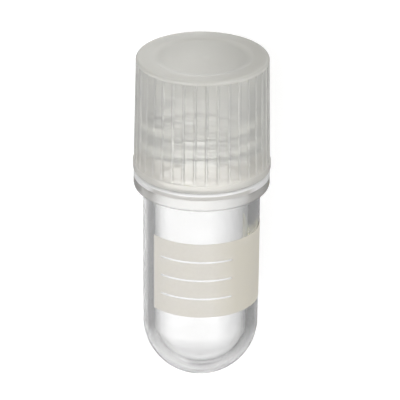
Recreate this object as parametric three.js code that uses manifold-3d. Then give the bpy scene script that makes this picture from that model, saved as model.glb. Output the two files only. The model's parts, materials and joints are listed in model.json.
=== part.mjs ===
// A small screw-capped cryogenic vial, lying on its side on a flat surface as it comes to rest.
// Millimetres, +Z up. The vial is built along its own axis, local +Y, from the round bottom to
// the cap. Angles go round that axis from local +Z, which faces up, towards +X.

import * as THREE from 'three';
import { mergeVertices } from 'three/addons/utils/BufferGeometryUtils.js';
import Module from 'manifold-3d';

const wasm = await Module();
wasm.setup();

// Barrel and round bottom
const barrelFootRadius = 5.27; // where the round bottom begins
const barrelTopRadius = 5.35; // under the flange
const barrelLength = 13.33; // from the centre of the round bottom to the flange
const barrelWall = 1.05; // where the round bottom begins
const bottomWall = 1.15; // on the axis

// Flange that the cap's skirt comes down to
const flangeRadius = 6.2;
const flangeThickness = 1.8;
const flangeTopEdge = 0.33; // rounding
const flangeBottomEdge = 0.5; // rounding

// Neck
const neckRadius = 4.9; // between the turns of the thread
const neckWall = 0.55;
const neckHeight = 8.92; // from the flange to the rim
const rimEdge = 0.2; // rounding

// Thread, right-handed, on the neck and in the cap
const threadPitch = 1.9;
const threadHeight = 0.35;
const threadRootWidth = 0.8;
const threadCrestWidth = 0.4;
const threadRise = 1.75; // from the flange to the middle of the neck thread's first turn
const neckThreadTurns = 2.4;
const capThreadTurns = 2.0;
const threadStartAngle = 220; // degrees
const threadRunOut = 30; // degrees over which a thread fades in and out
const threadEndShare = 0.2; // of its height, left at the very ends of a thread
const threadSink = 0.15; // depth to which a thread is rooted in the wall behind it

// Sealing ring under the roof of the cap
const ringThickness = 0.6;
const ringInset = 0.4; // how far it reaches inwards past the rim

// Cap
const roofThickness = 1.3;
const recessRadius = 4.25; // shallow recess in the top
const recessDepth = 0.12;
const capTopRadius = 5.92; // between the ribs, at the top
const capFootRadius = 6.08; // between the ribs, at the foot
const capTopEdge = 0.25; // rounding
const beadRadius = 6.27; // smooth band round the foot of the skirt
const beadHeight = 0.85;
const beadEdge = 0.12; // rounding
const ribCount = 36;
const ribHeight = 0.12;
const ribWidth = 0.3;
const ribCrestWidth = 0.15;
const ribStartAngle = 4; // degrees

// Printed marking panel
const panelHeight = 7.34;
const panelRise = 2.48; // from the start of the straight barrel to the panel
const panelStart = -53; // degrees
const panelEnd = 114; // degrees
const panelSkin = 0.06; // thickness, drawn thicker than real ink so that it is a solid
const rulingCount = 3; // clear lines ruled in the print, to write on
const rulingWidth = 0.2;
const rulingStart = -43; // degrees
const rulingEnd = 32; // degrees

// Fits
const threadClearance = 0.1; // between the neck and the cap, all over the threads
const sealGap = 0.05; // on both faces of the sealing ring
const ringClearance = 0.08; // from the ring to the wall of the cap
const skirtGap = 0.07; // from the skirt to the flange
const panelGap = 0.02; // from the print to the barrel

// Fineness
const facets = 60; // round the axis
const edgeSteps = 3; // in a rounded edge
const bottomSteps = 7; // in the round bottom
const threadStepsPerTurn = 30;
const weldDistance = 1e-5; // corners nearer than this are one

// Heights along the vial's axis, from the lowest point of the round bottom
const barrelFoot = barrelFootRadius;
const flangeFoot = barrelFoot + barrelLength;
const flangeTop = flangeFoot + flangeThickness;
const rimTop = flangeTop + neckHeight;
const ringFoot = rimTop + sealGap;
const roofFoot = ringFoot + ringThickness + sealGap;
const capTop = roofFoot + roofThickness;
const capFoot = flangeTop + skirtGap;

// Radii that follow from the fits
const boreFootRadius = barrelFootRadius - barrelWall;
const boreMouthRadius = neckRadius - neckWall;
const capBoreRadius = neckRadius + threadHeight + threadClearance;

const degrees = THREE.MathUtils.degToRad;
const turn = 2 * Math.PI;

// Points of an arc in the profile plane, both ends included.
function arc(radius, height, size, from, to, steps) {
  const points = [];
  for (let i = 0; i <= steps; i++) {
    const angle = degrees(from + ((to - from) * i) / steps);
    points.push(new THREE.Vector2(
      Math.max(radius + size * Math.cos(angle), 0),
      height + size * Math.sin(angle),
    ));
  }
  return points;
}

function point(radius, height) {
  return new THREE.Vector2(radius, height);
}

// A profile turned round the vial's axis, with a facet facing straight down and one straight up.
function turned(profile) {
  return new THREE.LatheGeometry(profile, facets, turn / facets / 2, turn);
}

// A closed three.js geometry as a solid that can be joined and cut.
function solid(geometry) {
  const bare = geometry.clone();
  bare.deleteAttribute('normal');
  bare.deleteAttribute('uv');
  const merged = mergeVertices(bare, weldDistance);
  const index = merged.index.array;
  const corners = [];
  for (let i = 0; i < index.length; i += 3) {
    const [a, b, c] = [index[i], index[i + 1], index[i + 2]];
    const flat = a === b || b === c || c === a;
    if (!flat) corners.push(a, b, c);
  }
  return new wasm.Manifold(new wasm.Mesh({
    numProp: 3,
    vertProperties: new Float32Array(merged.attributes.position.array),
    triVerts: new Uint32Array(corners),
  }));
}

function geometryOf(body) {
  const mesh = body.getMesh();
  const geometry = new THREE.BufferGeometry();
  geometry.setAttribute('position', new THREE.BufferAttribute(mesh.vertProperties, 3));
  geometry.setIndex(new THREE.BufferAttribute(mesh.triVerts, 1));
  geometry.computeVertexNormals();
  return geometry;
}

// One thread: a straight bar of its section, wound into a right-handed helix. The section stands
// out by threadHeight from a wall at wallRadius, outwards on the neck and inwards in the cap.
function thread(wallRadius, outwards, foot, turns) {
  const section = new THREE.Shape();
  section.moveTo(-threadSink, -threadRootWidth / 2);
  section.lineTo(0, -threadRootWidth / 2);
  section.lineTo(threadHeight, -threadCrestWidth / 2);
  section.lineTo(threadHeight, threadCrestWidth / 2);
  section.lineTo(0, threadRootWidth / 2);
  section.lineTo(-threadSink, threadRootWidth / 2);
  section.closePath();
  const bar = new THREE.ExtrudeGeometry(section, {
    depth: turns,
    steps: Math.round(turns * threadStepsPerTurn),
    bevelEnabled: false,
  });
  const wound = bar.attributes.position;
  const runOut = threadRunOut / 360;
  for (let i = 0; i < wound.count; i++) {
    const along = wound.getZ(i);
    const toEnd = Math.min(along, turns - along);
    const faded = THREE.MathUtils.smoothstep(toEnd, 0, runOut);
    const rise = THREE.MathUtils.lerp(threadEndShare, 1, faded);
    const stand = (wound.getX(i) + threadSink) * rise - threadSink;
    const radius = outwards ? wallRadius + stand : wallRadius - stand;
    const angle = degrees(threadStartAngle) + turn * (outwards ? turns - along : along);
    const height = foot + threadPitch * (outwards ? turns - along : along) + wound.getY(i);
    wound.setXYZ(i, radius * Math.sin(angle), height, radius * Math.cos(angle));
  }
  return solid(bar);
}

// A slice of the space round the axis, between two angles and two heights.
function slice(fromAngle, toAngle, foot, height) {
  const start = degrees(fromAngle - 90);
  const end = degrees(toAngle - 90);
  const plan = new THREE.Shape();
  plan.moveTo(0, 0);
  plan.lineTo(flangeRadius * Math.cos(start), flangeRadius * Math.sin(start));
  plan.absarc(0, 0, flangeRadius, start, end, false);
  plan.closePath();
  const block = new THREE.ExtrudeGeometry(plan, {
    depth: height,
    bevelEnabled: false,
  });
  block.rotateX(-Math.PI / 2);
  block.translate(0, foot, 0);
  return solid(block);
}

// The vial itself, moulded in one piece: round bottom, barrel, flange and threaded neck.
function tubeGeometry() {
  const bottom = arc(0, barrelFoot, barrelFootRadius, -90, 0, bottomSteps);
  const flange = [
    point(barrelTopRadius, flangeFoot),
    ...arc(flangeRadius - flangeBottomEdge, flangeFoot + flangeBottomEdge,
      flangeBottomEdge, -90, 0, edgeSteps),
    ...arc(flangeRadius - flangeTopEdge, flangeTop - flangeTopEdge,
      flangeTopEdge, 0, 90, edgeSteps),
  ];
  const neck = [
    point(neckRadius, flangeTop),
    ...arc(neckRadius - rimEdge, rimTop - rimEdge, rimEdge, 0, 90, edgeSteps),
    point(boreMouthRadius, rimTop),
  ];
  const boreBottom = arc(0, barrelFoot, 1, 0, -90, bottomSteps).map((p) => point(
    p.x * boreFootRadius,
    barrelFoot + (p.y - barrelFoot) * (barrelFootRadius - bottomWall),
  ));
  const body = solid(turned([...bottom, ...flange, ...neck, ...boreBottom]));
  const neckThread = thread(neckRadius, true, flangeTop + threadRise, neckThreadTurns);
  return geometryOf(body.add(neckThread));
}

// One grip rib, a low ridge down the skirt that leans out with the skirt's draft.
function ribGeometry() {
  const ribFoot = capFoot + beadHeight / 2;
  const length = capTop - capTopEdge - ribFoot;
  const lean = Math.atan2(capFootRadius - capTopRadius, capTop - capFoot);
  const section = new THREE.Shape();
  section.moveTo(-ribWidth / 2, -ribHeight);
  section.lineTo(ribWidth / 2, -ribHeight);
  section.lineTo(ribWidth / 2, 0);
  section.lineTo(ribCrestWidth / 2, ribHeight);
  section.lineTo(-ribCrestWidth / 2, ribHeight);
  section.lineTo(-ribWidth / 2, 0);
  section.closePath();
  const rib = new THREE.ExtrudeGeometry(section, { depth: length, bevelEnabled: false });
  rib.rotateX(-Math.PI / 2);
  rib.rotateY(Math.PI);
  rib.rotateX(-lean);
  rib.translate(0, ribFoot, capFootRadius);
  return rib;
}

// The cap, moulded in one piece: ribbed skirt, smooth foot band, roof and thread.
function capGeometry() {
  const roofTop = [
    point(0, capTop - recessDepth),
    point(recessRadius, capTop - recessDepth),
    point(recessRadius, capTop),
    ...arc(capTopRadius - capTopEdge, capTop - capTopEdge, capTopEdge, 90, 0, edgeSteps),
  ];
  const foot = [
    point(capFootRadius, capFoot + beadHeight + beadRadius - capFootRadius),
    point(beadRadius, capFoot + beadHeight),
    ...arc(beadRadius - beadEdge, capFoot + beadEdge, beadEdge, 0, -90, edgeSteps),
    point(capBoreRadius, capFoot),
  ];
  const roofUnder = [point(capBoreRadius, roofFoot), point(0, roofFoot)];
  const profile = [...roofTop, ...foot, ...roofUnder].reverse();
  const capThreadFoot = flangeTop + threadRise + threadPitch / 2;
  let body = solid(turned(profile));
  body = body.add(thread(capBoreRadius, false, capThreadFoot, capThreadTurns));
  for (let i = 0; i < ribCount; i++) {
    const rib = ribGeometry();
    rib.rotateY(degrees(ribStartAngle) + (turn * i) / ribCount);
    body = body.add(solid(rib));
  }
  return geometryOf(body);
}

// A soft washer that the rim is pressed into.
function sealingRingGeometry() {
  const inner = boreMouthRadius - ringInset;
  const outer = capBoreRadius - ringClearance;
  const top = ringFoot + ringThickness;
  return turned([
    point(inner, ringFoot),
    point(outer, ringFoot),
    point(outer, top),
    point(inner, top),
    point(inner, ringFoot),
  ]);
}

// A field of ink on the barrel, with clear lines left in it to write on.
function panelGeometry() {
  const draft = (barrelTopRadius - barrelFootRadius) / barrelLength;
  const foot = barrelFoot + panelRise;
  const footRadius = barrelFootRadius + draft * panelRise + panelGap;
  const topRadius = footRadius + draft * panelHeight;
  const band = solid(turned([
    point(footRadius, foot),
    point(footRadius + panelSkin, foot),
    point(topRadius + panelSkin, foot + panelHeight),
    point(topRadius, foot + panelHeight),
    point(footRadius, foot),
  ]));
  let panel = band.intersect(slice(panelStart, panelEnd, foot, panelHeight));
  const spacing = panelHeight / (rulingCount + 1);
  for (let i = 1; i <= rulingCount; i++) {
    const ruling = foot + i * spacing - rulingWidth / 2;
    panel = panel.subtract(slice(rulingStart, rulingEnd, ruling, rulingWidth));
  }
  return geometryOf(panel);
}

function piece(name, geometry, color, roughness) {
  const material = new THREE.MeshStandardMaterial({ color, roughness, metalness: 0 });
  const mesh = new THREE.Mesh(geometry, material);
  mesh.name = name;
  return mesh;
}

// Lying down, the vial touches the surface with the flange's lower edge and the barrel's foot.
// The two roundings there have one common tangent, and this is its slope to the vial's axis.
function restingSlope() {
  const along = flangeFoot + flangeBottomEdge - barrelFoot;
  const across = flangeRadius - flangeBottomEdge;
  const apart = Math.hypot(along, across);
  return Math.atan2(across, along) - Math.asin((barrelFootRadius - flangeBottomEdge) / apart);
}

const vial = new THREE.Group();
vial.add(
  piece('tube', tubeGeometry(), 0xe4e6e2, 0.25),
  piece('marking_panel', panelGeometry(), 0xd6d2cb, 0.6),
  piece('sealing_ring', sealingRingGeometry(), 0xdcdcd6, 0.7),
  piece('cap', capGeometry(), 0xc9c9c4, 0.4),
);
vial.rotation.x = restingSlope();

// The whole lies centred over the origin, with its lowest point on the surface.
const bounds = new THREE.Box3().setFromObject(vial, true);
const middle = bounds.getCenter(new THREE.Vector3());
vial.position.set(-middle.x, -middle.y, -bounds.min.z);

const part = new THREE.Group();
part.add(vial);

export default part;
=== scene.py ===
import json
import math

import bpy
from mathutils import Matrix, Vector


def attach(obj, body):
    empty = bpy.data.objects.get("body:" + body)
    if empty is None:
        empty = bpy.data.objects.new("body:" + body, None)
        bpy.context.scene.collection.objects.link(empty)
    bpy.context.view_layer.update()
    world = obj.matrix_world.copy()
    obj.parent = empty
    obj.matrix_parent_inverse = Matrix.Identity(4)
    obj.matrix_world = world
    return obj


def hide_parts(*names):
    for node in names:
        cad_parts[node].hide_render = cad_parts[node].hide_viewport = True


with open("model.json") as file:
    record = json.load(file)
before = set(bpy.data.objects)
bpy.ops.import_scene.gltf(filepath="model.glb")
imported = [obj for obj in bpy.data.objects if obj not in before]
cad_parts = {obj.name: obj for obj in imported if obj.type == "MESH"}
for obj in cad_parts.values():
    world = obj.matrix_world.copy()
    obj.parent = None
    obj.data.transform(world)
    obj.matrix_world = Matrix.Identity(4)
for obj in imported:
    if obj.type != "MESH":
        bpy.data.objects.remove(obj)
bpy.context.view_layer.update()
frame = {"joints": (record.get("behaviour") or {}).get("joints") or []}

mm = 0.001

# The vial is modelled upright, its tip on the origin and its axis along Z, and then laid down.
# Angles go round the axis from -Y, the side that faces up once the vial lies, towards +X.
joints = {j["name"]: j for j in frame["joints"]}
vialAxis = Vector(joints["cap_turn"]["axis"]).normalized()
vialUp = Vector((0, -vialAxis.z, vialAxis.y))
capFootPoint = Vector(joints["cap_turn"]["pos_m"])  # on the axis, level with the foot of the cap

capFootHeight = 20.47  # mm from the tip
cadFacets = 60  # sides of the CAD solids; the smooth pieces are fitted inside them
fitInside = math.cos(math.pi / cadFacets)

samePoint = 1e-5  # mm, nearer points of a profile are one
weldDistance = 0.2e-6  # m
wallSlack = 1e-6  # m, how near a vertex is to a wall that it lies on
sharpEdge = 35  # degrees, a steeper edge isn't shaded smooth
slack = 0.1  # mm, when faces are picked by their place
hair = 0.01

plasticIor = 1.49  # polypropylene
glowDepth = 0.8  # mm that light wanders inside the plastic


def colour(code):  # sRGB hex to linear
    channels = [int(code[i:i + 2], 16) / 255 for i in (1, 3, 5)]
    linear = [c / 12.92 if c <= 0.04045 else ((c + 0.055) / 1.055) ** 2.4 for c in channels]
    return (*linear, 1.0)


# On a Mix node of colours, inputs 6 and 7 are the two colours and output 2 is the mix.
def addNode(tree, kind, inputs=None, **settings):
    node = tree.nodes.new(kind)
    for name, value in settings.items():
        setattr(node, name, value)
    for name, value in (inputs or {}).items():
        if isinstance(value, bpy.types.NodeSocket):
            tree.links.new(value, node.inputs[name])
        else:
            node.inputs[name].default_value = value
    return node


def newMaterial(name):
    material = bpy.data.materials.new(name)
    material.use_nodes = True
    material.node_tree.nodes.clear()
    return material, material.node_tree


def smooth(share):
    return share * share * (3 - 2 * share)


def arc(radius, height, size, start, end, steps):
    points = []
    for i in range(steps + 1):
        angle = math.radians(start + (end - start) * i / steps)
        points.append((max(radius + size * math.cos(angle), 0), height + size * math.sin(angle)))
    return points


def straight(start, end, longest):  # points between two, start and end left out
    count = max(1, math.ceil(math.dist(start, end) / longest))
    return [tuple(a + (b - a) * i / count for a, b in zip(start, end)) for i in range(1, count)]


def dropRepeats(points):
    kept = [points[0]]
    for point in points[1:]:
        if math.dist(point, kept[-1]) > samePoint:
            kept.append(point)
    return kept


def turnProfile(name, profile, columns, startAngle=0.0, sweep=360.0):
    bpy.ops.object.select_all(action="DESELECT")
    points = []
    side = math.radians(startAngle)
    for radius, height in dropRepeats(profile):
        r = radius * fitInside * mm
        points.append(Vector((r * math.sin(side), -r * math.cos(side), height * mm)))
    bpy.ops.mesh.primitive_plane_add(size=mm, location=points[0])
    piece = bpy.context.active_object
    piece.name = name
    piece.data.name = name
    bpy.ops.object.transform_apply(location=True, rotation=True, scale=True)
    bpy.ops.object.mode_set(mode="EDIT")
    bpy.ops.mesh.select_mode(type="VERT")
    bpy.ops.mesh.select_all(action="SELECT")
    bpy.ops.mesh.merge(type="CENTER")
    for here, there in zip(points, points[1:]):
        bpy.ops.mesh.extrude_region_move(TRANSFORM_OT_translate={"value": there - here})
    bpy.ops.mesh.select_all(action="SELECT")
    bpy.ops.mesh.spin(steps=columns, angle=math.radians(sweep), center=(0, 0, 0), axis=(0, 0, -1))
    bpy.ops.mesh.select_all(action="SELECT")
    bpy.ops.mesh.remove_doubles(threshold=weldDistance)
    bpy.ops.mesh.select_all(action="SELECT")
    bpy.ops.mesh.normals_make_consistent(inside=False)
    bpy.ops.object.mode_set(mode="OBJECT")
    return piece


def angleOf(point):
    return math.degrees(math.atan2(point.x, -point.y)) % 360


threadValues = {  # mm and degrees, for the neck and the cap alike
    "pitch": 1.9,
    "height": 0.35,
    "rootWidth": 0.8,
    "crestWidth": 0.4,
    "startAngle": 220,
    "runOut": 30,  # over which each end fades away
    "neckFoot": 22.15,  # middle of the first turn
    "neckTurns": 2.4,
    "capFoot": 23.1,
    "capTurns": 2.0,
    "rowLength": 0.06,  # rows of faces fine enough to draw it
}


def raiseThread(piece, wall, outwards, foot, turns):
    size = threadValues
    root = size["rootWidth"]
    flank = (root - size["crestWidth"]) / 2
    for vertex in piece.data.vertices:
        radius = math.hypot(vertex.co.x, vertex.co.y)
        if abs(radius - wall * fitInside * mm) > wallSlack:
            continue
        height = vertex.co.z / mm
        first = ((angleOf(vertex.co) - size["startAngle"]) % 360) / 360
        for lap in range(math.ceil(turns) + 1):
            along = first + lap
            offset = abs(height - foot - size["pitch"] * along)
            if along > turns or offset > root / 2:
                continue
            rise = min(1, (root / 2 - offset) / flank)
            fade = min(1, min(along, turns - along) * 360 / size["runOut"])
            stand = size["height"] * smooth(rise) * smooth(fade) * mm * (1 if outwards else -1)
            vertex.co.x *= (radius + stand) / radius
            vertex.co.y *= (radius + stand) / radius
            break


def placeOf(point):  # radius and height on the laid vial, in mm
    offset = point - capFootPoint
    height = offset.dot(vialAxis)
    across = offset - vialAxis * height
    return across.length / mm, height / mm + capFootHeight


def finishPiece(piece, materials):
    bpy.ops.object.select_all(action="DESELECT")
    piece.select_set(True)
    bpy.context.view_layer.objects.active = piece
    tilt = math.atan2(vialAxis.z, vialAxis.y) - math.pi / 2
    piece.rotation_euler = (tilt, 0, 0)
    piece.location = capFootPoint - vialAxis * capFootHeight * mm
    bpy.ops.object.transform_apply(location=True, rotation=True, scale=True)
    bpy.ops.object.shade_smooth_by_angle(angle=math.radians(sharpEdge))
    piece.data.materials.clear()
    for material in materials:
        piece.data.materials.append(material)
    return piece


def alongVial(tree):  # mm aside from the axis and mm from the tip, in a material
    place = addNode(tree, "ShaderNodeTexCoord").outputs["Object"]
    turned = addNode(tree, "ShaderNodeMapping", {
        "Vector": place,
        "Location": capFootPoint - vialAxis * capFootHeight * mm,
        "Rotation": (math.atan2(vialAxis.z, vialAxis.y), 0, 0),
        "Scale": (mm, mm, mm),
    }, vector_type="TEXTURE").outputs["Vector"]
    split = addNode(tree, "ShaderNodeSeparateXYZ", {"Vector": turned}).outputs
    aside = addNode(tree, "ShaderNodeMath", {0: split["X"]}, operation="ABSOLUTE").outputs["Value"]
    return aside, split["Y"]


# Painted light and shade on the flange go up the vial: the height in mm from the tip, and the tint from
# there up, in the middle and at the sides. Painted shade greys the lower flange at its sides, a painted grey
# shade band runs round the middle with painted highlights at the sides, and a painted white highlight runs
# along the top edge.
flangeLightAndShade = (
    (18.0, "#F6F5F2", "#E4E2DE"),
    (19.8, "#C9C7C3", "#FFFFFF"),
    (20.18, "#FFFFFF", "#FFFFFF"),
)

vialValues = {  # mm, heights from the tip
    "columns": 240,
    "barrelFootRadius": 5.27,
    "barrelTopRadius": 5.35,
    "boreFootRadius": 4.22,
    "boreMouthRadius": 4.35,
    "bottomWall": 1.15,
    "flangeFoot": 18.6,
    "flangeTop": 20.4,
    "flangeRadius": 6.2,
    "flangeTopEdge": 0.33,
    "edgeFoot": 19.8,  # where the painted grey shade band and the painted highlights on the flange begin
    "flangeBottomEdge": 0.5,
    "flangeFillet": 0.15,
    "neckRadius": 4.9,
    "rimTop": 29.32,
    "rimEdge": 0.2,
    "lip": 0.12,  # rounding of the bore's mouth
    "gateRadius": 0.45,
    "gateFloor": 0.36,
    "gateDepth": 0.06,
    "rowLength": 0.6,
    "domeSteps": 40,  # in the round bottom, outside and inside
    "edgeSteps": 10,
    "rimSteps": 6,
    "lipSteps": 5,
    "wall": {
        "clearness": 0.96, "smoothest": 0.03, "dullest": 0.07,
        "tints": ((0.0, "#FEFEFE", "#FEFEFE"),), "sideFrom": 3.7,
    },
    "flange": {
        "clearness": 0.65, "smoothest": 0.2, "dullest": 0.3,
        "tints": flangeLightAndShade, "sideFrom": 3.7,
    },
    "edge": {
        "clearness": 0.2, "smoothest": 0.2, "dullest": 0.3,
        "tints": flangeLightAndShade, "sideFrom": 4.2,
    },
    "sideWidth": 0.8,  # over which the tint of the middle turns to that of the sides
    "tintBlur": 0.03,
    "flowSize": 3.85,  # lengths of the waves that the flow of the melt leaves
    "waveStrength": 0.05,
    "waveDepth": 0.2,
}


def makeVialPlastic(name, finish):
    values = vialValues
    material, tree = newMaterial(name)
    place = addNode(tree, "ShaderNodeTexCoord").outputs["Object"]
    flow = addNode(tree, "ShaderNodeTexNoise", {
        "Vector": place, "Scale": 1 / (values["flowSize"] * mm), "Detail": 2}).outputs["Fac"]
    haze = addNode(tree, "ShaderNodeMapRange", {
        "Value": flow, "To Min": finish["smoothest"], "To Max": finish["dullest"]}).outputs["Result"]
    wave = addNode(tree, "ShaderNodeBump", {
        "Height": flow, "Strength": values["waveStrength"], "Distance": values["waveDepth"] * mm})
    aside, height = alongVial(tree)
    # Left and right of the laid vial the tints turn to those of the sides: there the flange gets its painted
    # light and shade.
    side = addNode(tree, "ShaderNodeMapRange", {
        "Value": aside, "From Min": finish["sideFrom"],
        "From Max": finish["sideFrom"] + values["sideWidth"]}).outputs["Result"]
    base = colour(finish["tints"][0][1])
    for start, middleTint, sideTint in finish["tints"]:
        over = addNode(tree, "ShaderNodeMapRange", {
            "Value": height, "From Min": start - values["tintBlur"],
            "From Max": start + values["tintBlur"]}).outputs["Result"]
        shade = addNode(tree, "ShaderNodeMix", {
            "Factor": side, 6: colour(middleTint), 7: colour(sideTint)}, data_type="RGBA").outputs[2]
        base = addNode(tree, "ShaderNodeMix", {
            "Factor": over, 6: base, 7: shade}, data_type="RGBA").outputs[2]
    shader = addNode(tree, "ShaderNodeBsdfPrincipled", {
        "Base Color": base,
        "Roughness": haze,
        "IOR": plasticIor,
        "Transmission Weight": finish["clearness"],
        "Subsurface Weight": 1.0,
        "Subsurface Radius": (1.0, 1.0, 1.0),
        "Subsurface Scale": glowDepth * mm,
        "Normal": wave.outputs["Normal"],
    })
    addNode(tree, "ShaderNodeOutputMaterial", {"Surface": shader.outputs["BSDF"]})
    return material


def buildVial(wallPlastic, flangeShadedPlastic, edgeHighlightPlastic):
    size = vialValues
    foot = size["barrelFootRadius"]
    gate = [(0, size["gateDepth"]), (size["gateFloor"], size["gateDepth"])]
    startAngle = -90 + math.degrees(math.asin(size["gateRadius"] / foot))
    bottom = gate + arc(0, foot, foot, startAngle, 0, size["domeSteps"])

    edge = size["flangeBottomEdge"]
    topEdge = size["flangeTopEdge"]
    fillet = size["flangeFillet"]
    corner = (size["barrelTopRadius"] + fillet, size["flangeFoot"] - fillet)
    barrel = straight(bottom[-1], (size["barrelTopRadius"], corner[1]), size["rowLength"])
    flange = arc(*corner, fillet, 180, 90, size["lipSteps"])
    flange += arc(size["flangeRadius"] - edge, size["flangeFoot"] + edge, edge, -90, 0, size["edgeSteps"])
    flange.append((size["flangeRadius"], size["edgeFoot"]))
    flange += arc(
        size["flangeRadius"] - topEdge, size["flangeTop"] - topEdge, topEdge, 0, 90, size["edgeSteps"])

    rimEdge = size["rimEdge"]
    neckFoot = (size["neckRadius"], size["flangeTop"])
    rimStart = (size["neckRadius"], size["rimTop"] - rimEdge)
    neck = [neckFoot] + straight(neckFoot, rimStart, threadValues["rowLength"])
    neck += arc(size["neckRadius"] - rimEdge, size["rimTop"] - rimEdge, rimEdge, 0, 90, size["rimSteps"])
    lip = size["lip"]
    mouth = arc(size["boreMouthRadius"] + lip, size["rimTop"] - lip, lip, 90, 180, size["lipSteps"])

    deep = foot - size["bottomWall"]
    dome = []
    for i in range(size["domeSteps"]):
        angle = math.radians(90 * i / size["domeSteps"])
        dome.append((size["boreFootRadius"] * math.cos(angle), foot - deep * math.sin(angle)))
    dome.append((0, size["bottomWall"]))
    bore = straight(mouth[-1], dome[0], size["rowLength"])

    profile = bottom + barrel + flange + neck + mouth + bore + dome
    piece = turnProfile("vial", profile, size["columns"])
    raiseThread(piece, size["neckRadius"], True, threadValues["neckFoot"], threadValues["neckTurns"])
    finishPiece(piece, (wallPlastic, flangeShadedPlastic, edgeHighlightPlastic))
    for face in piece.data.polygons:
        radius, height = placeOf(face.center)
        inBand = size["flangeFoot"] - slack < height < size["flangeTop"] + hair
        if inBand and radius > size["barrelTopRadius"] + slack:
            face.material_index = 2 if height > size["edgeFoot"] else 1
    return piece


capValues = {  # mm and degrees, heights from the tip of the vial
    "columns": 360,
    "firstColumn": 0.5,
    "foot": 20.52,
    "top": 31.32,
    "roofFoot": 30.02,
    "boreRadius": 5.35,
    "topRadius": 5.92,
    "footRadius": 6.08,
    "topEdge": 0.3,
    "rimBand": 0.38,  # smooth band above the ribs, flush with them
    "rimLedge": 0.06,
    "recessRadius": 4.25,
    "recessDepth": 0.12,
    "recessSlope": 0.9,
    "beadRadius": 6.27,
    "beadHeight": 0.78,
    "beadTop": 0.1,
    "beadTopStart": 50,
    "beadEdge": 0.12,
    "lip": 0.12,
    "ribs": 36,
    "ribStart": 4,
    "ribHalf": 0.6,
    "ribHeight": 0.12,
    "gateRadius": 0.42,
    "gateTop": 0.21,
    "gateHeight": 0.02,
    "skirtRow": 0.4,
    "roofRow": 0.8,
    "topRow": 0.6,
    "recessSteps": 12,
    "edgeSteps": 8,
    "lipSteps": 5,
    "beadTopSteps": 4,
    "crestHighlightSide": 2.6,  # farther out, left and right, the thread's crests carry a painted highlight
    "skirt": {  # tints from a height up, as on the vial; the greyer tint at the foot is painted shade
        "clearness": 0.55, "footClearness": 0.34, "smoothest": 0.07, "dullest": 0.11,
        "tints": ((20.0, "#E7E5DF"), (22.8, "#F9F7F0")), "tintBlur": 0.5,
    },
    "frosted": {
        "clearness": 0.3, "footClearness": 0.3, "smoothest": 0.15, "dullest": 0.25,
        # painted shade: darker in the recess and on a band round the top edge
        "tints": ((20.0, "#DFDED8"), (31.15, "#D7D6D0"), (31.26, "#DDDCD6")), "tintBlur": 0.04,
    },
    "inside": {
        "clearness": 0.97, "footClearness": 0.97, "smoothest": 0.03, "dullest": 0.06,
        "tints": ((20.0, "#FDFCF8"),), "tintBlur": 0.1,
    },
    "footFrom": 21.4,  # the skirt clears between these heights
    "footTo": 23.6,
    "flowSize": 3.33,
    "waveStrength": 0.08,
    "waveDepth": 0.2,
    "crestHighlightTints": ("#F4F4F0", "#FEFEFC"),
    "crestRoughness": 0.5,
    "crestMottle": 2.5,
}


def makeCapPlastic(name, finish):
    values = capValues
    material, tree = newMaterial(name)
    place = addNode(tree, "ShaderNodeTexCoord").outputs["Object"]
    flow = addNode(tree, "ShaderNodeTexNoise", {
        "Vector": place, "Scale": 1 / (values["flowSize"] * mm), "Detail": 3}).outputs["Fac"]
    haze = addNode(tree, "ShaderNodeMapRange", {
        "Value": flow, "To Min": finish["smoothest"], "To Max": finish["dullest"]}).outputs["Result"]
    wave = addNode(tree, "ShaderNodeBump", {
        "Height": flow, "Strength": values["waveStrength"], "Distance": values["waveDepth"] * mm})
    _, height = alongVial(tree)
    base = colour(finish["tints"][0][1])
    for start, tint in finish["tints"]:
        over = addNode(tree, "ShaderNodeMapRange", {
            "Value": height, "From Min": start - finish["tintBlur"],
            "From Max": start + finish["tintBlur"]}).outputs["Result"]
        base = addNode(tree, "ShaderNodeMix", {
            "Factor": over, 6: base, 7: colour(tint)}, data_type="RGBA").outputs[2]
    clearness = finish["clearness"]
    if finish["footClearness"] != clearness:
        clearness = addNode(tree, "ShaderNodeMapRange", {
            "Value": height, "From Min": values["footFrom"], "From Max": values["footTo"],
            "To Min": finish["footClearness"], "To Max": clearness}).outputs["Result"]
    shader = addNode(tree, "ShaderNodeBsdfPrincipled", {
        "Base Color": base,
        "Roughness": haze,
        "IOR": plasticIor,
        "Transmission Weight": clearness,
        "Subsurface Weight": 1.0,
        "Subsurface Radius": (1.0, 1.0, 1.0),
        "Subsurface Scale": glowDepth * mm,
        "Normal": wave.outputs["Normal"],
    })
    addNode(tree, "ShaderNodeOutputMaterial", {"Surface": shader.outputs["BSDF"]})
    return material


def makeCrestHighlight(name):
    values = capValues
    material, tree = newMaterial(name)
    dark, light = values["crestHighlightTints"]
    place = addNode(tree, "ShaderNodeTexCoord").outputs["Object"]
    mottle = addNode(tree, "ShaderNodeTexNoise", {
        "Vector": place, "Scale": 1 / (values["crestMottle"] * mm), "Detail": 2}).outputs["Fac"]
    tone = addNode(tree, "ShaderNodeMix", {
        "Factor": mottle, 6: colour(dark), 7: colour(light)}, data_type="RGBA").outputs[2]
    shader = addNode(tree, "ShaderNodeBsdfPrincipled", {
        "Base Color": tone, "Roughness": values["crestRoughness"], "IOR": plasticIor})
    addNode(tree, "ShaderNodeOutputMaterial", {"Surface": shader.outputs["BSDF"]})
    return material


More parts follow.
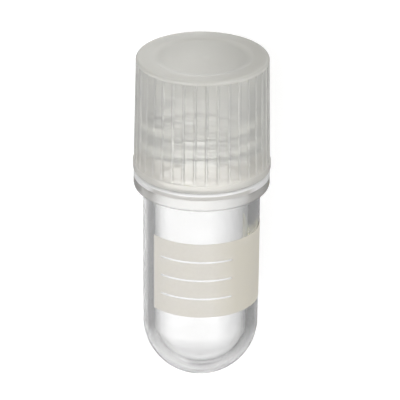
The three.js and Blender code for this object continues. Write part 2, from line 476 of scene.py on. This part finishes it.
def raiseRibs(piece, foot):
    size = capValues
    step = 360 / size["ribs"]
    head = size["top"] - size["rimBand"] - size["rimLedge"] + hair
    outside = (size["boreRadius"] + size["topRadius"]) / 2
    bpy.context.view_layer.objects.active = piece
    bpy.ops.object.mode_set(mode="EDIT")
    bpy.ops.mesh.select_all(action="DESELECT")
    bpy.ops.object.mode_set(mode="OBJECT")
    for vertex in piece.data.vertices:
        radius = math.hypot(vertex.co.x, vertex.co.y) / mm
        height = vertex.co.z / mm
        across = abs((angleOf(vertex.co) - size["ribStart"] + step / 2) % step - step / 2)
        onSkirt = radius > outside and foot - hair <= height <= head
        vertex.select = onSkirt and across < size["ribHalf"]
    bpy.ops.object.mode_set(mode="EDIT")
    grow = 1 + size["ribHeight"] / size["topRadius"]
    bpy.ops.transform.resize(value=(grow, grow, 1), center_override=(0, 0, 0))
    bpy.ops.object.mode_set(mode="OBJECT")


def buildCap(skirtPlastic, frostedPlastic, innerPlastic, crestHighlightPlastic):
    size = capValues
    foot = size["foot"]
    top = size["top"]
    floor = top - size["recessDepth"]
    nibTop = floor + size["gateHeight"]
    nib = [(0, nibTop), (size["gateTop"], nibTop), (size["gateRadius"], floor)]
    recess = []
    for i in range(size["recessSteps"] + 1):
        share = i / size["recessSteps"]
        recess.append((
            size["recessRadius"] + size["recessSlope"] * (share - 0.5),
            floor + size["recessDepth"] * smooth(share),
        ))
    recess = straight(nib[-1], recess[0], size["topRow"]) + recess

    topEdge = size["topEdge"]
    ribRadius = size["topRadius"] + size["ribHeight"]
    rim = arc(ribRadius - topEdge, top - topEdge, topEdge, 90, 0, size["edgeSteps"])
    rim.append((ribRadius, top - size["rimBand"]))
    rim.append((size["topRadius"], top - size["rimBand"] - size["rimLedge"]))

    beadHead = foot + size["beadHeight"]
    skirtFoot = (size["footRadius"], beadHead + size["beadRadius"] - size["footRadius"])
    skirt = straight(rim[-1], skirtFoot, size["skirtRow"]) + [skirtFoot]
    beadTop = size["beadTop"]
    beadEdge = size["beadEdge"]
    bead = arc(
        size["beadRadius"] - beadTop, beadHead - beadTop, beadTop,
        size["beadTopStart"], 0, size["beadTopSteps"])
    bead += arc(size["beadRadius"] - beadEdge, foot + beadEdge, beadEdge, 0, -90, size["edgeSteps"])

    lip = size["lip"]
    mouth = arc(size["boreRadius"] + lip, foot + lip, lip, -90, -180, size["lipSteps"])
    boreTop = (size["boreRadius"], size["roofFoot"])
    bore = straight(mouth[-1], boreTop, threadValues["rowLength"])
    roofMiddle = (0, size["roofFoot"])
    roof = [boreTop] + straight(boreTop, roofMiddle, size["roofRow"]) + [roofMiddle]

    profile = nib + recess + rim + skirt + bead + mouth + bore + roof
    piece = turnProfile("screw_cap", profile, size["columns"], startAngle=size["firstColumn"])
    raiseThread(piece, size["boreRadius"], False, threadValues["capFoot"], threadValues["capTurns"])
    raiseRibs(piece, skirtFoot[1])
    finishPiece(piece, (skirtPlastic, frostedPlastic, innerPlastic, crestHighlightPlastic))
    for face in piece.data.polygons:
        radius, height = placeOf(face.center)
        if height < size["roofFoot"] + hair and radius < size["boreRadius"] + slack / 2:
            onCrest = radius < size["boreRadius"] - slack and height < size["roofFoot"] - 2 * slack
            # Left and right, the crests get the painted highlight.
            atSide = abs(face.center.x) > size["crestHighlightSide"] * mm
            face.material_index = 3 if onCrest and atSide else 2
        elif height > top - size["rimBand"]:
            face.material_index = 1
    return piece


ringValues = {  # mm
    "columns": 144,
    "foot": 29.37,
    "thickness": 0.6,
    "inner": 3.95,
    "outer": 5.27,
    "edge": 0.08,
    "edgeSteps": 4,
    "tint": "#F8F8F4",
    "ior": 1.41,
    "clearness": 0.6,
    "smoothest": 0.4,
    "dullest": 0.55,
    "bloomSize": 1.11,
}


def makeSilicone(name):
    values = ringValues
    material, tree = newMaterial(name)
    place = addNode(tree, "ShaderNodeTexCoord").outputs["Object"]
    bloom = addNode(tree, "ShaderNodeTexNoise", {
        "Vector": place, "Scale": 1 / (values["bloomSize"] * mm), "Detail": 2}).outputs["Fac"]
    haze = addNode(tree, "ShaderNodeMapRange", {
        "Value": bloom, "To Min": values["smoothest"], "To Max": values["dullest"]}).outputs["Result"]
    shader = addNode(tree, "ShaderNodeBsdfPrincipled", {
        "Base Color": colour(values["tint"]),
        "Roughness": haze,
        "IOR": values["ior"],
        "Transmission Weight": values["clearness"],
    })
    addNode(tree, "ShaderNodeOutputMaterial", {"Surface": shader.outputs["BSDF"]})
    return material


def buildRing(material):
    size = ringValues
    edge = size["edge"]
    inner = size["inner"] + edge
    outer = size["outer"] - edge
    low = size["foot"] + edge
    high = size["foot"] + size["thickness"] - edge
    profile = []
    for radius, height, start in ((inner, low, 180), (outer, low, -90), (outer, high, 0), (inner, high, 90)):
        profile += arc(radius, height, edge, start, start + 90, size["edgeSteps"])
    profile.append(profile[0])
    piece = turnProfile("seal_washer", profile, size["columns"])
    return finishPiece(piece, [material])


printValues = {  # mm and degrees
    "foot": 7.75,
    "height": 7.34,
    "start": -53,
    "end": 114,
    "skin": 0.045,
    "bite": 0.01,  # how far the ink keys into the wall
    "rulings": 3,
    "rulingWidth": 0.2,
    "rulingStart": -43,
    "rulingEnd": 32,
    "topTints": ("#DBD6CC", "#E2DDD4"),
    "topShadeTint": "#D2CDC1",  # painted shade towards the end of the print
    # a real white underprint, made paler as painted light
    "underLitTints": ("#F6F2E2", "#FBF8EC"),
    "underShadeTint": "#F6F2E2",
    "shadeFrom": 1.0,
    "shadeTo": 3.2,
    "grain": 0.25,  # coarser than the real pigment, so that it shows
    "roughness": 0.6,
    "ior": 1.5,
    "glowDepth": 0.15,
}


def makeInk(name, tints, shadeTint):
    values = printValues
    material, tree = newMaterial(name)
    place = addNode(tree, "ShaderNodeTexCoord").outputs["Object"]
    grain = addNode(tree, "ShaderNodeTexNoise", {
        "Vector": place, "Scale": 1 / (values["grain"] * mm), "Detail": 2}).outputs["Fac"]
    tone = addNode(tree, "ShaderNodeMix", {
        "Factor": grain, 6: colour(tints[0]), 7: colour(tints[1])}, data_type="RGBA").outputs[2]
    split = addNode(tree, "ShaderNodeSeparateXYZ", {"Vector": place}).outputs
    # Painted shade: the print turns darker and warmer towards +X, at its end.
    inShade = addNode(tree, "ShaderNodeMapRange", {
        "Value": split["X"], "From Min": values["shadeFrom"] * mm,
        "From Max": values["shadeTo"] * mm}).outputs["Result"]
    shade = addNode(tree, "ShaderNodeMix", {
        "Factor": inShade, 6: tone, 7: colour(shadeTint)}, data_type="RGBA").outputs[2]
    shader = addNode(tree, "ShaderNodeBsdfPrincipled", {
        "Base Color": shade,
        "Roughness": values["roughness"],
        "IOR": values["ior"],
        "Subsurface Weight": 1.0,
        "Subsurface Radius": (1.0, 1.0, 0.9),
        "Subsurface Scale": values["glowDepth"] * mm,
    })
    addNode(tree, "ShaderNodeOutputMaterial", {"Surface": shader.outputs["BSDF"]})
    return material


def buildPrint(topCoat, litUndercoat):
    size = printValues
    footRadius = vialValues["barrelFootRadius"]
    draft = (vialValues["barrelTopRadius"] - footRadius) / (vialValues["flangeFoot"] - footRadius)
    spacing = size["height"] / (size["rulings"] + 1)
    heights = [size["foot"]]
    for i in range(1, size["rulings"] + 1):
        middle = size["foot"] + i * spacing
        heights += [middle - size["rulingWidth"] / 2, middle + size["rulingWidth"] / 2]
    heights.append(size["foot"] + size["height"])
    profile = [(footRadius + draft * (h - footRadius) - size["bite"], h) for h in heights]
    sweep = size["end"] - size["start"]
    piece = turnProfile("marking_print", profile, sweep, size["start"], sweep)

    # The rulings are left bare, so the clear wall shows in them.
    bpy.ops.object.mode_set(mode="EDIT")
    bpy.ops.mesh.select_mode(type="FACE")
    bpy.ops.mesh.select_all(action="DESELECT")
    bpy.ops.object.mode_set(mode="OBJECT")
    for face in piece.data.polygons:
        middle = face.center
        angle = (angleOf(middle) + 180) % 360 - 180
        nearest = round((middle.z / mm - size["foot"]) / spacing)
        offset = abs(middle.z / mm - size["foot"] - nearest * spacing)
        ruled = 0 < nearest <= size["rulings"] and offset < size["rulingWidth"] / 4
        face.select = ruled and size["rulingStart"] < angle < size["rulingEnd"]
    bpy.ops.object.mode_set(mode="EDIT")
    bpy.ops.mesh.delete(type="FACE")
    bpy.ops.mesh.select_all(action="SELECT")
    bpy.ops.mesh.normals_make_consistent(inside=False)
    bpy.ops.object.mode_set(mode="OBJECT")
    first = piece.data.polygons[0]
    if first.normal.dot(Vector((*first.center.xy, 0))) < 0:
        piece.data.flip_normals()

    skin = piece.modifiers.new("skin", "SOLIDIFY")
    skin.thickness = size["skin"] * mm
    skin.offset = 1
    bpy.ops.object.modifier_apply(modifier=skin.name)
    finishPiece(piece, (topCoat, litUndercoat))
    for face in piece.data.polygons:
        fromAxis = face.center - capFootPoint
        outwards = fromAxis - vialAxis * fromAxis.dot(vialAxis)
        if face.normal.dot(outwards) < -footRadius / 2 * mm:  # it faces the wall
            face.material_index = 1
    return piece


stageValues = {  # mm, and brightness where 1 is white
    "floorSize": 3000,
    "stripMiddle": (-2.8, 13.0, 0.0),  # a painted strip of light on the ground, seen only through and off the clear parts
    "stripTurn": 4,  # degrees
    "stripStretch": 1.0,
    "stripHalf": (2.6, 28.5, 50.0),
    "stripFade": 5.7,
    "stripBright": 1.1,
    "poolMiddle": (-3.0, -30.5, 0.0),  # a painted pool of light past the tip, wider and duller
    "poolTurn": 0,
    "poolStretch": 0.5,
    "poolHalf": (5.0, 19.0, 50.0),
    "poolFade": 16.5,
    "poolBright": 0.82,
    "spot": (0.5, -31.0, 0.0),  # with a painted shaded spot in it
    "spotShade": 0.2,
    "spotSize": 7.0,
    "sideReach": 8.0,  # and painted shade on the ground at both sides
    "sideLeft": 0.34,
    "sideRight": 0.25,
    "floorShade": 0.8,
    "floorLift": 0.46,
    "room": 0.6,
    "softboxes": (  # place in m and power in W
        ("key_softbox", (-0.25, 0.1, 0.5), 1.12),
        ("fill_softbox", (0.3, 0.25, 0.35), 0.75),
    ),
    "softboxSize": 300,
    "softboxAim": (0, 0, 6),
}


def inMetres(point):
    return [v * mm for v in point]


def makeFloor(name):
    look = stageValues
    material, tree = newMaterial(name)
    rays = addNode(tree, "ShaderNodeLightPath").outputs
    shade = look["floorShade"]
    diffuse = addNode(tree, "ShaderNodeBsdfDiffuse", {"Color": (shade, shade, shade, 1)}).outputs["BSDF"]
    place = addNode(tree, "ShaderNodeTexCoord").outputs["Object"]
    split = addNode(tree, "ShaderNodeSeparateXYZ", {"Vector": place}).outputs
    field = addNode(tree, "ShaderNodeMapRange", {
        "Value": split["X"], "From Min": -look["sideReach"] * mm, "From Max": look["sideReach"] * mm,
        "To Min": look["sideLeft"], "To Max": look["sideRight"],
    }).outputs["Result"]
    for patch in ("strip", "pool"):
        away = addNode(tree, "ShaderNodeMapping", {
            "Vector": place,
            "Location": inMetres(look[patch + "Middle"]),
            "Rotation": (0, 0, math.radians(look[patch + "Turn"])),
            "Scale": (1, look[patch + "Stretch"], 1),
        }, vector_type="TEXTURE").outputs["Vector"]
        half = inMetres(look[patch + "Half"])
        away = addNode(tree, "ShaderNodeVectorMath", {0: away}, operation="ABSOLUTE").outputs[0]
        away = addNode(tree, "ShaderNodeVectorMath", {0: away, 1: half}, operation="SUBTRACT").outputs[0]
        away = addNode(tree, "ShaderNodeVectorMath", {0: away, 1: (0, 0, 0)}, operation="MAXIMUM").outputs[0]
        away = addNode(tree, "ShaderNodeVectorMath", {0: away}, operation="LENGTH").outputs["Value"]
        bright = addNode(tree, "ShaderNodeMapRange", {
            "Value": away, "From Min": 0.0, "From Max": look[patch + "Fade"] * mm,
            "To Min": look[patch + "Bright"], "To Max": look["sideRight"],
        }).outputs["Result"]
        field = addNode(tree, "ShaderNodeMath", {0: field, 1: bright}, operation="MAXIMUM").outputs["Value"]
    fromSpot = addNode(tree, "ShaderNodeVectorMath", {
        0: place, 1: inMetres(look["spot"])}, operation="DISTANCE").outputs["Value"]
    dim = addNode(tree, "ShaderNodeMapRange", {
        "Value": fromSpot, "From Min": 0.0, "From Max": look["spotSize"] * mm,
        "To Min": look["spotShade"], "To Max": 1.0,
    }).outputs["Result"]
    field = addNode(tree, "ShaderNodeMath", {0: field, 1: dim}, operation="MULTIPLY").outputs["Value"]
    # The painted light and shade shows only in glossy and transmission rays.
    through = addNode(tree, "ShaderNodeEmission", {"Strength": field}).outputs["Emission"]
    lift = addNode(tree, "ShaderNodeEmission", {"Strength": look["floorLift"]}).outputs["Emission"]
    seen = addNode(tree, "ShaderNodeAddShader", {0: diffuse, 1: lift}).outputs["Shader"]
    plain = addNode(tree, "ShaderNodeMixShader", {
        0: rays["Is Camera Ray"], 1: diffuse, 2: seen}).outputs["Shader"]
    clear = addNode(tree, "ShaderNodeMath", {
        0: rays["Is Glossy Ray"], 1: rays["Is Transmission Ray"]}, operation="MAXIMUM").outputs["Value"]
    last = addNode(tree, "ShaderNodeMixShader", {0: clear, 1: plain, 2: through}).outputs["Shader"]
    addNode(tree, "ShaderNodeOutputMaterial", {"Surface": last})
    return material


def buildStage(paperWithPaintedLight):
    look = stageValues
    bpy.ops.object.select_all(action="DESELECT")
    bpy.ops.mesh.primitive_plane_add(size=look["floorSize"] * mm, location=(0, 0, 0))
    floor = bpy.context.active_object
    floor.name = "floor"
    floor.data.materials.append(paperWithPaintedLight)

    # A dull room lights the vial, and white shows behind it and in it.
    world = bpy.data.worlds.new("studio")
    bpy.context.scene.world = world
    world.use_nodes = True
    tree = world.node_tree
    tree.nodes.clear()
    white = (1, 1, 1, 1)
    rays = addNode(tree, "ShaderNodeLightPath").outputs
    clear = addNode(tree, "ShaderNodeMath", {
        0: rays["Is Glossy Ray"], 1: rays["Is Transmission Ray"]}, operation="MAXIMUM").outputs["Value"]
    shown = addNode(tree, "ShaderNodeMath", {
        0: rays["Is Camera Ray"], 1: clear}, operation="MAXIMUM").outputs["Value"]
    room = addNode(tree, "ShaderNodeBackground", {"Color": white, "Strength": look["room"]}).outputs[0]
    back = addNode(tree, "ShaderNodeBackground", {"Color": white, "Strength": 1.0}).outputs[0]
    mixed = addNode(tree, "ShaderNodeMixShader", {0: shown, 1: room, 2: back}).outputs[0]
    addNode(tree, "ShaderNodeOutputWorld", {"Surface": mixed})

    for name, place, power in look["softboxes"]:
        bpy.ops.object.light_add(type="AREA", location=place)
        lamp = bpy.context.active_object
        lamp.name = name
        lamp.data.size = look["softboxSize"] * mm
        lamp.data.energy = power
        aim = Vector(inMetres(look["softboxAim"])) - Vector(place)
        lamp.rotation_euler = aim.to_track_quat("-Z", "Y").to_euler()


cameraValues = {  # mm and degrees
    "aim": 17.32,  # up the vial from its tip
    "distance": 400,
    "rise": 24.652,  # from square on to the vial, towards its cap
    "roll": 0.521,
    "lens": 394.992,
    "sensor": 36,
    "shift": (-0.0037, -0.0057),
    "nearest": 10,
}


def placeCamera():
    look = cameraValues
    bpy.ops.object.camera_add()
    camera = bpy.context.active_object
    camera.name = "camera"
    tip = capFootPoint - vialAxis * capFootHeight * mm
    target = tip + vialAxis * look["aim"] * mm
    rise = math.radians(look["rise"])
    towards = vialUp * math.cos(rise) + vialAxis * math.sin(rise)
    place = target + towards * look["distance"] * mm
    above = vialAxis * math.cos(rise) - vialUp * math.sin(rise)
    right = above.cross(towards)
    roll = math.radians(look["roll"])
    across = right * math.cos(roll) + above * math.sin(roll)
    upright = above * math.cos(roll) - right * math.sin(roll)
    turned = Matrix((across, upright, towards)).transposed()
    camera.matrix_world = Matrix.Translation(place) @ turned.to_4x4()
    camera.data.sensor_width = look["sensor"]
    camera.data.lens = look["lens"]
    camera.data.shift_x, camera.data.shift_y = look["shift"]
    camera.data.clip_start = look["nearest"] * mm
    bpy.context.scene.camera = camera


# Natural polypropylene from a polished mould: clear and glossy, with a faint wave in what shows through.
vialPlastic = makeVialPlastic("clear_polypropylene", vialValues["wall"])
# The same plastic, thick and from a dull part of the mould: the flange glows pale grey, with painted shade
# at its sides.
flangeShadedPlastic = makeVialPlastic("hazy_polypropylene_painted_shade", vialValues["flange"])
# Its upper edge, with painted light: a painted highlight, almost white, at the sides and along the top, and
# a painted grey shade line in the middle.
edgeHighlightPlastic = makeVialPlastic("edge_painted_highlight", vialValues["edge"])
# Polypropylene moulded thin: a milky skirt with soft glints, dimly showing the threads, milkier at its foot,
# and greyed there by painted shade.
capSkirt = makeCapPlastic("natural_polypropylene", capValues["skirt"])
# Polypropylene from a spark-eroded face of the mould: a satin, cloudy top, even but for painted shade in its
# recess and on a band round its edge.
capFrosted = makeCapPlastic("frosted_polypropylene", capValues["frosted"])
# Polypropylene off a polished core: the inside adds glints and no haze of its own.
capInside = makeCapPlastic("polished_polypropylene", capValues["inside"])
# Painted highlight: left and right, the crests of the thread are an opaque pale plastic, so they show as
# pale lines.
crestHighlightPlastic = makeCrestHighlight("crest_painted_highlight")
# Moulded silicone: translucent, with a dull bloom.
silicone = makeSilicone("translucent_silicone")
# Screen-printed ink to write on: matt warm grey and all but opaque, with painted shade darkening it towards
# its end.
ink = makeInk("write_on_ink", printValues["topTints"], printValues["topShadeTint"])
# Screen-printed white under it: a creamy back to the print, seen through the wall, kept paler than the ink
# as painted light, since little light reaches it there.
litUndercoat = makeInk("white_undercoat_painted_light", printValues["underLitTints"], printValues["underShadeTint"])
# Matt white paper: plain to the eye, while its painted brighter and duller parts glow for rays through
# or off the clear plastic and give it its light and shade.
paperWithPaintedLight = makeFloor("white_paper_painted_light")
print("materials made")

vial = buildVial(vialPlastic, flangeShadedPlastic, edgeHighlightPlastic)
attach(vial, "vial_body")
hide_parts("tube")
print("vial built", len(vial.data.polygons))

markingPrint = buildPrint(ink, litUndercoat)
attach(markingPrint, "vial_body")
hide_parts("marking_panel")
print("print built", len(markingPrint.data.polygons))

sealWasher = buildRing(silicone)
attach(sealWasher, "seal_body")
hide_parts("sealing_ring")
print("washer built", len(sealWasher.data.polygons))

screwCap = buildCap(capSkirt, capFrosted, capInside, crestHighlightPlastic)
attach(screwCap, "cap_body")
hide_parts("cap")
print("cap built", len(screwCap.data.polygons))

buildStage(paperWithPaintedLight)
placeCamera()
bpy.context.scene.view_settings.view_transform = "Standard"
print("stage and camera placed")
